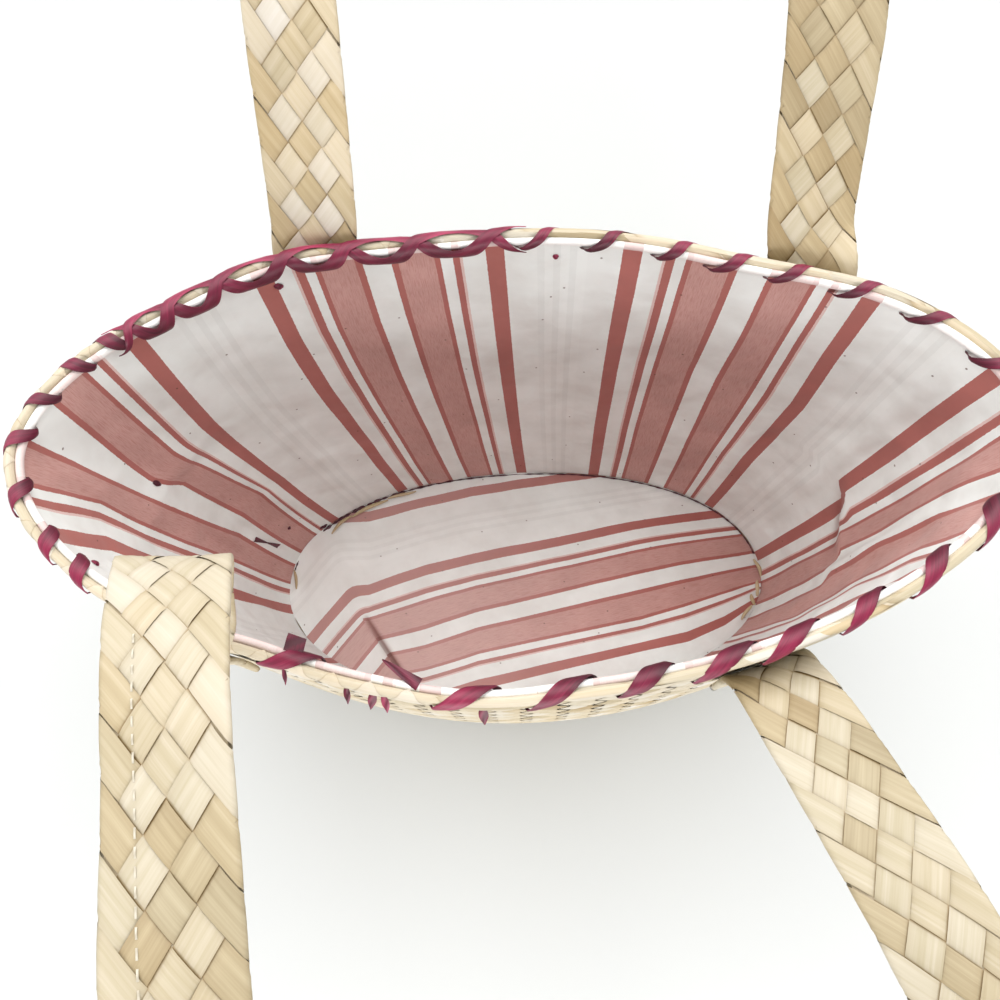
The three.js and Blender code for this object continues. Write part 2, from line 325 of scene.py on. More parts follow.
wall_crossings = []
for row in range(1, plait_rows):
    for column in range(plait_columns):
        wall_crossings.append((column, row, 1))
        wall_crossings.append((column + 0.5, row + 0.5, -1))
base_crossings = []
for row in range(-6, 7):
    for column in range(-12, 13):
        for half, hand in ((0, 1), (0.5, -1)):
            if in_base_oval((column + half) * plait_step, (row + half) * plait_step):
                base_crossings.append((column + half, row + half, hand))
backing_rows = np.concatenate([[-4], np.linspace(0.4, 2.4, 12), np.linspace(2.8, plait_rows, 20)])
backing_row, backing_column = grid(backing_rows, np.linspace(0, plait_columns, 193)[:-1])
backing = body_surface(backing_column, backing_row, np.full(backing_row.shape, -backing_depth))
backing_uv = np.stack([backing_column * plait_step, backing_row * plait_step], -1)
# The inner layer shows only through the gaps, so its colour is darkened with painted shade.
backing_look = {"tone": 0.5, "warm": 0.5, "painted_shade": 0.35}
body_parts = plait(wall_crossings, body_surface, plait_strip, palm_lift, 11, wall_tones, columns=5)
body_parts += plait(base_crossings, base_surface, plait_strip, palm_lift, 13, wall_tones, columns=5)
body_parts.append(sheet_part(backing, backing_uv, backing_look, closed=True))
palm_body = make_piece("palm_body", palm_leaf, body_parts, "strip")
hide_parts("basket_shell")

# Wall lining: one length of striped shirting cotton, joined at the front, hung from a rolled hem at
# the rim and sewn to the base panel below. It hangs slack, with a tuck on the right, a pinch on the
# left and pleats at the back, and its stripes lean in as the wall narrows.
repeat = 187.5 * mm
even_levels = (0.0, 0.3, 0.6, 0.8, 1.0)
pinched_levels = (0.0, 0.33, 0.57, 0.67, 1.0)
stripe_lines = [
    {"cloth": 640.0, "at": (-0.0556, -0.0500, -0.0380, -0.0375, -0.0450)},
    {"cloth": 613.3, "at": (-0.0318, -0.0300, -0.0166, -0.0175, -0.0228), "fold": 0.385},
    {"cloth": 588.3, "at": (-0.0095, -0.0085, -0.0042, -0.0031, -0.0022), "fold": 0.395},
    {"cloth": 562.5, "at": (0.0129, 0.0117, 0.0226, 0.0222, 0.0207), "fold": 0.46},
    {"cloth": 496.0, "at": (0.0746, 0.0778, 0.0762, 0.0803, 0.0825)},
    {"cloth": 440.6, "at": (0.1184, 0.1235, 0.1273, 0.1277, 0.1293)},
    {"cloth": 375.0, "at": (0.1830, 0.1874, 0.1902, 0.1915, 0.1925)},
    {"cloth": 308.5, "at": (0.2476, 0.2505, 0.2534, 0.2553, 0.2572)},
    {"cloth": 187.5, "at": (0.3576, 0.3594, 0.3651, 0.3673, 0.3667)},
    {"cloth": 121.0, "at": (0.4244, 0.4259, 0.4299, 0.4309, 0.4297), "pinched": True},
    {"cloth": 91.3, "at": (0.4439, 0.4399, 0.4498, 0.4543, 0.4543), "pinched": True},
    {"cloth": 65.6, "at": (0.4660, 0.4620, 0.4663, 0.4757, 0.4740), "pinched": True},
    {"cloth": 50.8, "at": (0.4767, 0.4730, 0.4822, 0.4875, 0.4930)},
    {"cloth": 25.8, "at": (0.4950, 0.4942, 0.4990, 0.5022, 0.5142)},
    {"cloth": 0.0, "at": (0.5175, 0.5175, 0.5200, 0.5235, 0.5385)},
]
right_fold = {
    "turn": [-20, -10, -4, 2, 7, 12, 15],
    "share": [0.38, 0.383, 0.39, 0.413, 0.445, 0.485, 0.52],
}
fold_half = 0.02
wall_folds = [
    {"angle": 161, "spread": 11, "middle": 0.635, "reach": 0.03, "depth": 3.0 * mm},
    {"angle": 169, "spread": 3, "middle": 0.6, "reach": 0.12, "depth": 2.0 * mm},
    {"angle": 176, "spread": 5, "middle": 0.62, "reach": 0.2, "depth": 2.5 * mm},
    {"angle": 109, "spread": 1.6, "middle": 0.14, "reach": 0.2, "depth": 2.5 * mm},
    {"angle": 105, "spread": 1.4, "middle": 0.16, "reach": 0.16, "depth": 2.0 * mm},
    {"angle": 80, "spread": 16, "middle": 0.8, "reach": 0.16, "depth": 2.0 * mm},
    {"angle": 163, "spread": 2.0, "middle": 0.28, "reach": 0.2, "depth": 3.0 * mm},
    {"angle": 172, "spread": 2.2, "middle": 0.36, "reach": 0.2, "depth": 3.2 * mm},
    {"angle": 183, "spread": 2.6, "middle": 0.34, "reach": 0.2, "depth": 2.8 * mm},
    {"angle": 98, "spread": 2.2, "middle": 0.5, "reach": 0.3, "depth": 2.6 * mm},
    {"angle": 74, "spread": 2.6, "middle": 0.45, "reach": 0.28, "depth": 2.4 * mm},
    {"angle": 40, "spread": 3.0, "middle": 0.42, "reach": 0.26, "depth": 2.8 * mm},
    {"angle": 19, "spread": 3.6, "middle": 0.5, "reach": 0.24, "depth": 3.0 * mm},
    {"angle": 346, "spread": 3.0, "middle": 0.55, "reach": 0.25, "depth": 2.8 * mm},
]
cotton_white, cotton_light, cotton_shade = "#ECF0EE", "#EEF2F0", "#E8ECEA"
cotton_brick, cotton_pink, cotton_blush = "#AE6861", "#C89C95", "#DFC4BF"
cotton_bands = [
    (0.0, cotton_brick), (4.7, cotton_white), (15.3, cotton_blush), (16.6, cotton_brick),
    (20.8, cotton_white), (25.8, cotton_brick), (29.2, cotton_pink), (47.4, cotton_brick),
    (50.8, cotton_white), (65.6, cotton_brick), (69.0, cotton_pink), (87.9, cotton_brick),
    (91.3, cotton_white), (97.5, cotton_brick), (101.7, cotton_blush), (103.0, cotton_white),
    (115.5, cotton_brick), (124.9, cotton_white), (141.0, cotton_shade), (145.0, cotton_light),
    (149.0, cotton_shade), (153.0, cotton_light), (157.0, cotton_shade), (161.0, cotton_light),
    (166.0, cotton_white), (182.8, cotton_brick),
]


def cotton_material(name):
    # Plain-woven cotton shirting, yarn dyed: the eye sees soft matt cloth, brick stripes with slightly
    # uneven edges, dusty pink bands full of short darker slubs, and a few dark flecks of leaf dust.
    # The thread spacing is drawn at twice its real size so that it shows.
    thread = 0.9 * mm
    material, tree, place = start_material(name, "cloth")
    across = add(tree, "SeparateXYZ", Vector=place)
    edge_place = at_size(tree, place, 6 * mm, 2.2 * mm)
    uneven = add(tree, "TexNoise", Vector=edge_place, Scale=1.0, Detail=2.0)
    jitter = add(tree, "Math", {"operation": "MULTIPLY_ADD"}, at0=uneven, at1=0.6 * mm, at2=across)
    turns = add(tree, "Math", {"operation": "DIVIDE"}, at0=jitter, at1=repeat)
    within = add(tree, "Math", {"operation": "FRACT"}, at0=turns)
    stripe_stops = [(start * mm / repeat, code) for start, code in cotton_bands]
    dyed_stops = [(start, "#FFFFFF" if code == cotton_pink else "#000000") for start, code in stripe_stops]
    stripes, dyed = [add(tree, "ValToRGB", stops=stops, Fac=within) for stops in (stripe_stops, dyed_stops)]
    for ramp in (stripes, dyed):
        ramp.color_ramp.interpolation = "CONSTANT"
    slub_place = at_size(tree, place, 0.5 * mm, 9 * mm)
    slub = add(tree, "TexNoise", Vector=slub_place, Scale=1.0, Detail=3.0, Roughness=0.7)
    slub_dark = add(tree, "MapRange", Value=slub, From_Min=0.46, From_Max=0.7, To_Min=0.0, To_Max=0.75)
    slub_here = add(tree, "Math", {"operation": "MULTIPLY"}, at0=slub_dark, at1=dyed)
    banded = add(tree, "Mix", colour_over, Factor=slub_here, A=stripes, B=linear("#AE736C"))
    # Painted shade: broad soft grey patches that stand for the shading of the slack cloth.
    patchy_shade = add(tree, "TexNoise", Vector=place, Scale=1 / (42 * mm), Detail=4.0, Roughness=0.6)
    patchy_shade_here = add(tree, "MapRange", Value=patchy_shade, From_Min=0.38, From_Max=0.66, To_Min=0.0, To_Max=0.3)
    patchy_shaded = add(tree, "Mix", colour_times, Factor=patchy_shade_here, A=banded, B=linear("#CFC9C4"))
    fleck = add(tree, "TexVoronoi", {"voronoi_dimensions": "2D"}, Vector=place, Scale=1 / (48 * mm))
    fleck_here = add(tree, "MapRange", Value=fleck, From_Min=0.008, From_Max=0.017, To_Min=0.8, To_Max=0.0)
    flecked = add(tree, "Mix", colour_over, Factor=fleck_here, A=patchy_shaded, B=linear("#5A3B30"))
    # The pale attribute lightens the cloth: on the hem, and as painted light on the left of the base panel.
    # The other attribute darkens it with painted shade along the folds and on the right of the base panel.
    pale, crease_and_shade = [add(tree, "Attribute", {"attribute_name": key}).outputs["Fac"]
                    for key in ("pale", "crease_and_shade")]
    lit = add(tree, "Mix", colour_over, Factor=pale, A=flecked, B=linear("#F1ECEA"))
    crease_shaded = add(tree, "Mix", colour_times, Factor=crease_and_shade, A=lit, B=linear("#94645C"))
    weave = add(tree, "TexChecker", Vector=at_size(tree, place, thread, thread), Scale=2.0)
    wrinkle = add(tree, "TexNoise", Vector=place, Scale=1 / (34 * mm), Detail=1.5, Distortion=0.25)
    wrinkled = add(tree, "Bump", Height=wrinkle, Strength=0.8, Distance=6.0 * mm)
    bump = add(tree, "Bump", Height=weave.outputs[1], Strength=0.12, Distance=0.1 * mm, Normal=wrinkled)
    add(tree, tree.nodes["Principled BSDF"], Base_Color=crease_shaded, Normal=bump, Roughness=0.88, IOR=1.46,
        Sheen_Weight=0.12, Sheen_Roughness=0.5)
    return material


striped_cotton = cotton_material("striped_cotton_shirting")
front_seam = np.radians(270)
lining_columns = 540
lining_rows = 84
lining_out = 0.35 * mm
lining_top = 0.988
lip_depth, lip_fade = 4.5 * mm, 0.13
ripple_depth = 2.0 * mm


def cloth_across(angle, level):
    """Place across the striped cloth, in metres, along one level of the wall."""
    arc = ring_arc(level)
    along = np.interp(angle % (2 * np.pi), ring_angles, arc / arc[-1])
    along = np.where(angle < 0, along - 1, along)
    places = []
    for line in stripe_lines:
        eased = np.interp(level, pinched_levels if "pinched" in line else even_levels, line["at"])
        if "fold" in line and even_levels[1] < level < even_levels[2]:
            over = smooth(line["fold"] - fold_half, line["fold"] + fold_half, level)
            eased = mix(line["at"][1], line["at"][2], over)
        places.append(eased)
    cloth = [line["cloth"] * mm for line in stripe_lines]
    rate = (cloth[-1] - cloth[0]) / (places[-1] - places[0])
    places = [places[0] - 0.5] + places + [places[-1] + 0.5]
    cloth = [cloth[0] - 0.5 * rate] + cloth + [cloth[-1] + 0.5 * rate]
    return np.interp(along, places, cloth)


def right_fold_share(angle):
    return np.interp(turn_from(angle, 0), right_fold["turn"], right_fold["share"])


def wall_fold_depth(angle, share):
    """How far the slack cloth stands in from the palm wall."""
    depth = np.zeros(angle.shape)
    for fold in wall_folds:
        across = hump(turn_from(angle, fold["angle"]), fold["spread"])
        depth += fold["depth"] * across * hump(share - fold["middle"], fold["reach"])
    past = share - right_fold_share(angle)
    lip = smooth(-fold_half, fold_half, past) * np.exp(-np.maximum(past - fold_half, 0) / lip_fade)
    depth += lip_depth * lip * hump(turn_from(angle, 2), 9)
    ripple = 0.5 * np.sin(11 * angle + 5 * share) * np.sin(7 * share + 2)
    ripple = ripple + 0.35 * np.sin(23 * angle - 9 * share)
    ripple = ripple + 0.3 * np.sin(37 * angle + 14 * share) * np.sin(17 * share - 6 * angle)
    return depth + ripple_depth * (0.6 + ripple) * smooth(0, 0.2, share) * smooth(0, 0.15, 1 - share)


wall_angles = np.linspace(front_seam - 2 * np.pi, front_seam, lining_columns + 1)
wall_levels = np.linspace(0, lining_top, lining_rows)
wall_share, wall_angle = grid(wall_levels, wall_angles)
wall_spots = wall_point(wall_angle, wall_share, lining_out - wall_fold_depth(wall_angle, wall_share))
wall_across = np.stack([cloth_across(wall_angles, level) for level in wall_levels])
wall_uv = np.stack([wall_across, wall_share * rim_height], -1)
hem_section = {
    "out": [-0.3, -1.3, -1.7, -1.2, -0.1, 1.1, 1.8, 1.7],
    "lift": [-3.0, -1.9, -0.5, 0.9, 1.5, 1.2, 0.2, -2.5],
}
hem_rows = len(hem_section["out"])
hem_step = 1.2 * mm
hem_pale = 0.55
hem_spots = [wall_point(wall_angles, 1.0, out * mm, lift * mm)
             for out, lift in zip(hem_section["out"], hem_section["lift"])]
hem_uv = [np.stack([wall_across[-1], np.full(len(wall_angles), rim_height + hem_step * k)], -1)
          for k in range(hem_rows)]
lining_spots = np.concatenate([wall_spots, np.stack(hem_spots)])
lining_uv = np.concatenate([wall_uv, np.stack(hem_uv)])
# Painted shade: a darker band along the step of the right fold.
step_place = hump(wall_share - right_fold_share(wall_angle) + fold_half, 0.02)
fold_step_shade = 0.6 * step_place * hump(turn_from(wall_angle, 2), 8)
lining_look = {
    "pale": np.concatenate([np.zeros(lining_rows), np.full(hem_rows, hem_pale)])[:, None],
    "crease_and_shade": np.concatenate([fold_step_shade, np.zeros((hem_rows, lining_columns + 1))]),
}
lining_parts = [sheet_part(lining_spots, lining_uv, lining_look, flip=True)]
lining_wall = make_piece("cotton_wall_lining", striped_cotton, lining_parts, "cloth")
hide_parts("lining_wall")

# Base lining: an oval panel cut from the same cotton and sewn round its edge to the wall lining. At
# the front left the cloth is folded over itself in a tuck, and the stripes break across the fold.
base_stripes = {
    "x": [-125, -80, -40, 30, 90, 125, 155, 183],
    "lines": [
        {"cloth": -66.5, "y": [58, 68, 76, 84, 90, 93.5, 96, 98]},
        {"cloth": 0.0, "y": [-2.5, 12, 20, 31.3, 42, 46, 48.5, 50]},
        {"cloth": 58.2, "y": [-52, -42.5, -30.5, -16.5, -4.5, 1.7, 5.2, 9]},
        {"cloth": 91.3, "y": [-77, -68.5, -57, -45, -35.3, -26.5, -18, -11]},
        {"cloth": 121.0, "y": [-100, -92, -81, -67.8, -56.8, -50.8, -39.5, -23.5]},
    ],
}
right_tuck = {"start": (139.4, -5.5), "end": (181.9, -17.1), "rise": 3.2}
tuck_apex = (-127.0, -23.6)
tuck_way = (0.548, -0.836)
tuck_side = (-tuck_way[1], tuck_way[0])
tuck_fall = 3.5
tuck_rise = 11.0
tuck_turn = 2.5
tuck_reach, tuck_spread = 55, 24
left_stripe = {"cloth": 25.8, "place": (-127.6, -24.2), "across": (0.76, -0.65), "gather": 0.85}
pouch_place, pouch_spread, pouch_rise = (-158.0, 18.0), 22.0, 6.0
base_top = 3.5


def right_of_tuck(x, y):
    """Place across the cloth in mm: straight lines between the stripes that were followed over the base."""
    rows = [np.interp(x, base_stripes["x"], line["y"]) for line in base_stripes["lines"]]
    cloth = [line["cloth"] for line in base_stripes["lines"]]
    place = cloth[0] + (rows[0] - y) * (cloth[1] - cloth[0]) / (rows[0] - rows[1])
    for k in range(1, len(rows) - 1):
        part = cloth[k] + (rows[k] - y) * (cloth[k + 1] - cloth[k]) / (rows[k] - rows[k + 1])
        place = np.where(y < rows[k], part, place)
    return place


def left_of_tuck(x, y):
    """Place across the cloth in mm on the left of the tuck, where the stripes run straight."""
    (start_x, start_y), (across_x, across_y) = left_stripe["place"], left_stripe["across"]
    ahead = (x - start_x) * across_x + (y - start_y) * across_y
    return left_stripe["cloth"] + ahead / left_stripe["gather"]


def base_panel(ahead_of, left_layer):
    """One layer of the panel, as chords of the oval along the tuck, with its place across the cloth."""
    apex_ahead = tuck_apex[0] * tuck_side[0] + tuck_apex[1] * tuck_side[1]
    ahead = apex_ahead + ahead_of
    low, high = np.zeros(len(ahead)), np.zeros(len(ahead))
    half_length, half_depth = base_half[0] / mm + 0.4, base_half[1] / mm + 0.4
    along_line = np.linspace(-230, 230, 4601)
    for k, side in enumerate(ahead):
        x = side * tuck_side[0] + along_line * tuck_way[0]
        y = side * tuck_side[1] + along_line * tuck_way[1]
        oval = (np.abs(x) / half_length) ** base_squareness + (np.abs(y) / half_depth) ** base_squareness
        inside = oval <= 1
        low[k], high[k] = along_line[inside][[0, -1]] if inside.any() else (0, 0)
    steps = np.linspace(0, 1, 90)
    along = low[:, None] + (high - low)[:, None] * steps
    aside = np.broadcast_to(ahead[:, None], along.shape)
    x = aside * tuck_side[0] + along * tuck_way[0]
    y = aside * tuck_side[1] + along * tuck_way[1]
    past = along - (tuck_apex[0] * tuck_way[0] + tuck_apex[1] * tuck_way[1])
    right_place, left_place = right_of_tuck(x, y), left_of_tuck(x, y)
    turning = -tuck_turn * np.logaddexp(-right_place / tuck_turn, -left_place / tuck_turn)
    place = np.where(past > 0, left_place if left_layer else right_place, turning)
    raised = tuck_rise * smooth(0, tuck_reach, past)
    off = aside - apex_ahead
    fall = np.where(off > 0, np.exp(-off / tuck_spread), np.clip(1 + off / tuck_fall, 0, 1))
    tuck_x, tuck_y = right_tuck["start"]
    tuck_slope = (right_tuck["end"][1] - tuck_y) / (right_tuck["end"][0] - tuck_x)
    above = y - tuck_y - (x - tuck_x) * tuck_slope
    flap = right_tuck["rise"] * smooth(tuck_x - 10, right_tuck["end"][0] - 12, x)
    flap = flap * smooth(-2.5, 0, above) * np.exp(-np.maximum(above, 0) / 16)
    pouch = pouch_rise * hump(np.hypot(x - pouch_place[0], y - pouch_place[1]), pouch_spread)
    wave = 0.9 * np.sin(0.05 * x + 0.09 * y)
    wave = wave + 0.8 * np.sin(0.13 * x - 0.09 * y) * np.sin(0.06 * y + 0.02 * x)
    z = base_top + raised * fall + flap + pouch + wave
    spots = np.stack([x, y, np.where(z < base_top, base_top, z)], -1) * mm
    # Painted shade along the tuck's fold and on the right end of the panel; painted light makes the left of
    # the panel paler.
    crease_and_shade = 0.75 * smooth(-4, 6, past) * np.where(off < 0, hump(off, 3.2), hump(off, 1.6))
    look = {"pale": 0.2 * smooth(140, -110, x), "crease_and_shade": crease_and_shade + 0.22 * smooth(90, 185, x)}
    return sheet_part(spots, np.stack([place, x + 0.4 * y], -1) * mm, look, flip=True)


reach_left, reach_right = -64.0, 291.0
left_sides = np.linspace(reach_left, -tuck_fall, 42)
right_sides = np.concatenate([np.linspace(-tuck_fall, 0, 7)[:-1], np.linspace(0, reach_right, 170)])
base_parts = [base_panel(left_sides, True), base_panel(right_sides, False)]
lining_base = make_piece("cotton_base_lining", striped_cotton, base_parts, "cloth")
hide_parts("lining_base")

# Rim roll: the tops of the palm strips folded over outwards into a flat edge along the mouth. On the
# left the folded ends show as a saw-tooth of pale and tan points, on the right as long straws.
roll_out, roll_lift = 4.1 * mm, -2.0 * mm
roll_half_width, roll_half_height = 2.3 * mm, 4.7 * mm


def roll_surface(arc, turn, height):
    out = roll_out + (roll_half_width + height) * signed_power(np.sin(turn), 0.75)
    lift = roll_lift + (roll_half_height + height) * signed_power(np.cos(turn), 0.75)
    return wall_point(angle_at(arc), 1.0, out, lift)


def roll_patch(start, end, turns, height, tone, warm, points_in, slant=0.0):
    """A strip end lying over the roll: a straw if points_in is 0, a point towards the hem if it is 1."""
    s, t = grid(np.linspace(0, 1, 12), np.linspace(0, 1, 7))
    narrow = 1 - points_in * (1 - t) * 0.96
    arc = mix(start, end, 0.5 + (s - 0.5) * narrow) + slant * (t - 0.5)
    low, high = np.radians(turns)
    turn = mix(low, high, t)
    crown = height + 0.35 * mm * (1 - (2 * s - 1) ** 2)
    uv = np.stack([(turn - low) * 6 * mm + start, arc], -1)
    # Painted shade at the two ends of each strip end, where it meets the next one.
    painted_shade = 0.55 * smooth(0.86, 1.0, np.abs(2 * s - 1))
    return sheet_part(roll_surface(arc, turn, crown), uv, {"tone": tone, "warm": warm, "painted_shade": painted_shade})


core_arc, core_turn = grid(np.linspace(0, rim_length, 420), np.linspace(-np.pi, np.pi, 19))
core_uv = np.stack([core_turn * 5 * mm, core_arc], -1)
core_look = {"tone": 0.7, "warm": 0.4, "painted_shade": 0.0}
roll_parts = [sheet_part(roll_surface(core_arc, core_turn, 0 * core_arc), core_uv, core_look)]
roll_draw = np.random.default_rng(21)
tooth, straw = 14.5 * mm, 46 * mm
saw_tooth = (300 * mm, 760 * mm)
tooth_turns, straw_turns = (-75, 125), ((-80, -12), (-20, 52), (44, 128))
place = saw_tooth[0]
while place < saw_tooth[1]:
    size = tooth * roll_draw.uniform(0.85, 1.15)
    tone, warm = 0.8 + 0.12 * roll_draw.normal(), np.clip(0.4 + 0.25 * roll_draw.normal(), 0, 1)
    roll_parts.append(roll_patch(place, place + size, tooth_turns, 0.15 * mm, tone, warm, 1.0))
    place += size * 1.02
place = saw_tooth[1]
while place < saw_tooth[0] + rim_length:
    size = straw * roll_draw.uniform(0.7, 1.3)
    for turns in straw_turns:
        tone, warm = 0.7 + 0.18 * roll_draw.normal(), np.clip(0.42 + 0.3 * roll_draw.normal(), 0, 1)
        start = place + roll_draw.uniform(0, 0.5) * straw
        end = start + size * 1.12
        roll_parts.append(roll_patch(start, end, turns, 0.1 * mm, tone, warm, 0.0, 5 * mm))
    place += size
rim_roll = make_piece("palm_rim_roll", palm_leaf, roll_parts, "strip")
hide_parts("rim_roll")

# Lacing: a flat burgundy raffia ribbon sewn over the rim in long slanting stitches, through the hem
# inside and the wall outside. On the back left two runs of it cross, and it skips at the front.
lace_out, lace_lift = 2.2 * mm, -2.5 * mm
lace_half_width, lace_half_height = 5.5 * mm, 6.2 * mm
lace_girth = 6.0 * mm
lacing_runs = [
    {"places": (256, 222, 187, 158, 129, 96, 60, 25),
     "hand": -1, "run": 30, "half": 3.0, "blunt": 0.05, "curl": 0.09, "taper": 0.7},
    {"places": (1084, 1060, 1036, 1001, 966, 866),
     "hand": -1, "run": 28, "half": 4.4, "blunt": 0.25, "curl": 0.02, "taper": 0.42},
    {"places": (931, 901),
     "hand": -1, "run": 34, "half": 4.4, "blunt": 0.22, "curl": 0.02, "taper": 0.42},
    {"places": (830, 789, 712),
     "hand": -1, "run": 33, "half": 4.2, "blunt": 0.1, "curl": 0.03, "taper": 0.6},
    {"places": (612, 593, 566, 540, 520, 498, 479),
     "hand": 1, "run": 18, "half": 3.4, "blunt": 0.05, "curl": 0.09, "taper": 0.7},
]
crossed_places = (488, 468, 447, 421, 387, 356, 321, 283, 247)
crossed_half = 3.3 * mm
lace_hole = 4.6 * mm


def raffia_material(name):
    # Dyed raffia ribbon with a satin face: the eye sees a deep burgundy with fine fibres and creases
    # along it. Its tone paints light and shade on it: painted highlights in rose where the ribbon turns
    # to the light, painted shade where it runs under the hem or dips inside the rim.
    material, tree, place = start_material(name, "strip")
    fibre_place = at_size(tree, place, 0.6 * mm, 22 * mm)
    fibre = add(tree, "TexNoise", Vector=fibre_place, Scale=1.0, Detail=3.0, Roughness=0.65)
    tone = add(tree, "Attribute", {"attribute_name": "tone"}).outputs["Fac"]
    shade = add(tree, "Math", {"operation": "MULTIPLY_ADD"}, at0=fibre, at1=0.7, at2=tone)
    centred = add(tree, "Math", {"operation": "SUBTRACT"}, at0=shade, at1=0.35)
    stops = [(0.0, "#430E20"), (0.3, "#64142F"), (0.6, "#862242"), (0.85, "#A73C5D"), (1.0, "#C87590")]
    colour = add(tree, "ValToRGB", stops=stops, Fac=centred)
    bump = add(tree, "Bump", Height=fibre, Strength=0.5, Distance=0.25 * mm)
    add(tree, tree.nodes["Principled BSDF"], Base_Color=colour, Normal=bump, Roughness=0.42, IOR=1.45)
    return material


burgundy_raffia = raffia_material("burgundy_satin_raffia")


def lace_surface(arc, turn, height, sunk):
    out = lace_out + (lace_half_width + height) * np.sin(turn)
    lift = lace_lift + (lace_half_height + height) * np.cos(turn)
    out = mix(out, np.where(turn < 0, 0.0, lace_hole), sunk)
    return wall_point(angle_at(arc), 1.0, out, lift)


def ribbon(path_arc, path_turn, half, raise_by, tone, sunk, draw):
    """A creased flat ribbon along a line over the rim, given as arc lengths and turns round the edge."""
    q = np.linspace(-1, 1, 7)[None, :]
    way_arc, way_turn = np.gradient(path_arc), np.gradient(path_turn) * lace_girth
    size = np.hypot(way_arc, way_turn)
    spot_arc = path_arc[:, None] - q * (half * way_turn / size)[:, None]
    spot_turn = path_turn[:, None] + q * (half * way_arc / size)[:, None] / lace_girth
    crease_and_shade = 0.35 * np.cos(np.pi * q * draw.uniform(1.2, 2.2) + draw.uniform(0, 3))
    height = raise_by[:, None] + 0.2 * mm + 0.4 * mm * (1 - q ** 2) + 0.2 * mm * crease_and_shade
    run = np.cumsum(size)[:, None] + 3 * path_arc[0]
    uv = np.stack(np.broadcast_arrays(q * half[:, None] + path_arc[0], run), -1)
    spots = lace_surface(spot_arc, spot_turn, height, sunk[:, None])
    # Its tone follows the creases: painted light on their ridges and painted shade in their hollows.
    return sheet_part(spots, uv, {"tone": tone[:, None] + 0.2 * crease_and_shade})


def stitch(arc, row, draw):
    """One slanting stitch, from an end under the hem, over the rim, to a point outside. The end under the hem
    is darkened with painted shade.
    """
    s = np.linspace(0, 1, 29)
    reach = row["run"] * mm * draw.uniform(0.94, 1.06)
    turn_low, turn_high = np.radians(-112 + 8 * draw.normal()), np.radians(112 + 8 * draw.normal())
    path_arc = arc + row["hand"] * reach * (s + row["curl"] * np.sin(2 * np.pi * s) - 0.5)
    wide = row["half"] * mm * draw.uniform(0.88, 1.1)
    half = wide * np.sin(np.pi * np.clip(mix(row["blunt"], 1, s), 0.006, 0.994)) ** row["taper"]
    # Painted shade on the end under the hem, rising to painted light over the rim and outside.
    tone = mix(0.1, 0.46, smooth(0.2, 0.6, s)) + 0.06 * draw.normal()
    sunk = np.maximum(smooth(0.1, 0.0, s), smooth(0.93, 1.0, s))
    return ribbon(path_arc, mix(turn_low, turn_high, s), half, 0 * s, tone, sunk, draw)


def strand(side, draw):
    """One of the two ribbons that wind along the back left rim and cross at each crossed place."""
    s = np.linspace(0, 1, 260)
    path_arc = mix(crossed_places[0] - 8, crossed_places[-1] + 18, s) * mm
    crossings = np.interp(-path_arc, [-place * mm for place in crossed_places], range(len(crossed_places)))
    swing = side * np.sin(np.pi * crossings)
    path_turn = np.radians(np.where(swing > 0, 54, 104)) * swing
    half = crossed_half * (0.85 + 0.3 * np.abs(swing)) * np.minimum(1, 12 * np.minimum(s, 1 - s) + 0.05)
    raise_by = 0.45 * mm * (1 + side * np.cos(np.pi * crossings))
    # Painted light and shade: the ribbon is lighter where it swings out over the rim and darker where it dips
    # inside.
    tone = 0.42 + 0.22 * swing + 0.1 * np.sin(40 * s + side)
    return ribbon(path_arc, path_turn, half, raise_by, tone, 0 * s, draw)


lace_draw = np.random.default_rng(31)
lace_parts = [strand(1, lace_draw), strand(-1, lace_draw)]
for row in lacing_runs:
    for place in row["places"]:
        lace_parts.append(stitch(place * mm, row, lace_draw))
make_piece("raffia_lacing", burgundy_raffia, lace_parts, "strip")

# Knots and tails: short bits of the same raffia that tack the lining to the palm, a dark running stitch
# along the base seam, whose dark line also paints the shade in the seam's gap, and the ends of the lacing
# that stick out under the front of the rim.
scraps = [
    {"angle": 166.3, "share": 0.177, "turn": 81, "long": 34, "half": 2.3, "form": "bow", "tone": 0.05},
    {"angle": 123.4, "share": 0.955, "turn": 30, "long": 5.0, "half": 2.3, "form": "knot", "tone": 0.35},
    {"angle": 83.5, "share": 0.96, "turn": 60, "long": 3.4, "half": 1.7, "form": "knot", "tone": 0.5},
    {"angle": 205.5, "share": 0.92, "turn": 50, "long": 4.2, "half": 2.0, "form": "knot", "tone": 0.35},
    {"angle": 156.8, "share": 0.125, "turn": 10, "long": 3.4, "half": 1.5, "form": "knot", "tone": 0.05},
    {"angle": 168.2, "share": 0.66, "turn": 80, "long": 6.0, "half": 1.7, "form": "knot", "tone": -0.1},
    {"angle": 148.0, "share": 0.014, "turn": 12, "long": 9, "half": 1.9, "form": "knot", "tone": -0.3},
    {"angle": 239.6, "share": 0.955, "turn": -70, "long": 6, "half": 1.4, "form": "tail", "tone": 0.3},
    {"angle": 247.3, "share": 0.955, "turn": -80, "long": 7, "half": 1.7, "form": "tail", "tone": 0.2},
    {"angle": 250.3, "share": 0.955, "turn": -100, "long": 10, "half": 2.0, "form": "tail", "tone": 0.35},
    {"angle": 251.8, "share": 0.955, "turn": -75, "long": 8, "half": 2.0, "form": "tail", "tone": 0.6},
    {"angle": 263.2, "share": 0.955, "turn": -85, "long": 9, "half": 2.2, "form": "tail", "tone": 0.3},
]
tail_out, tail_lean = 4.2 * mm, 7.0 * mm


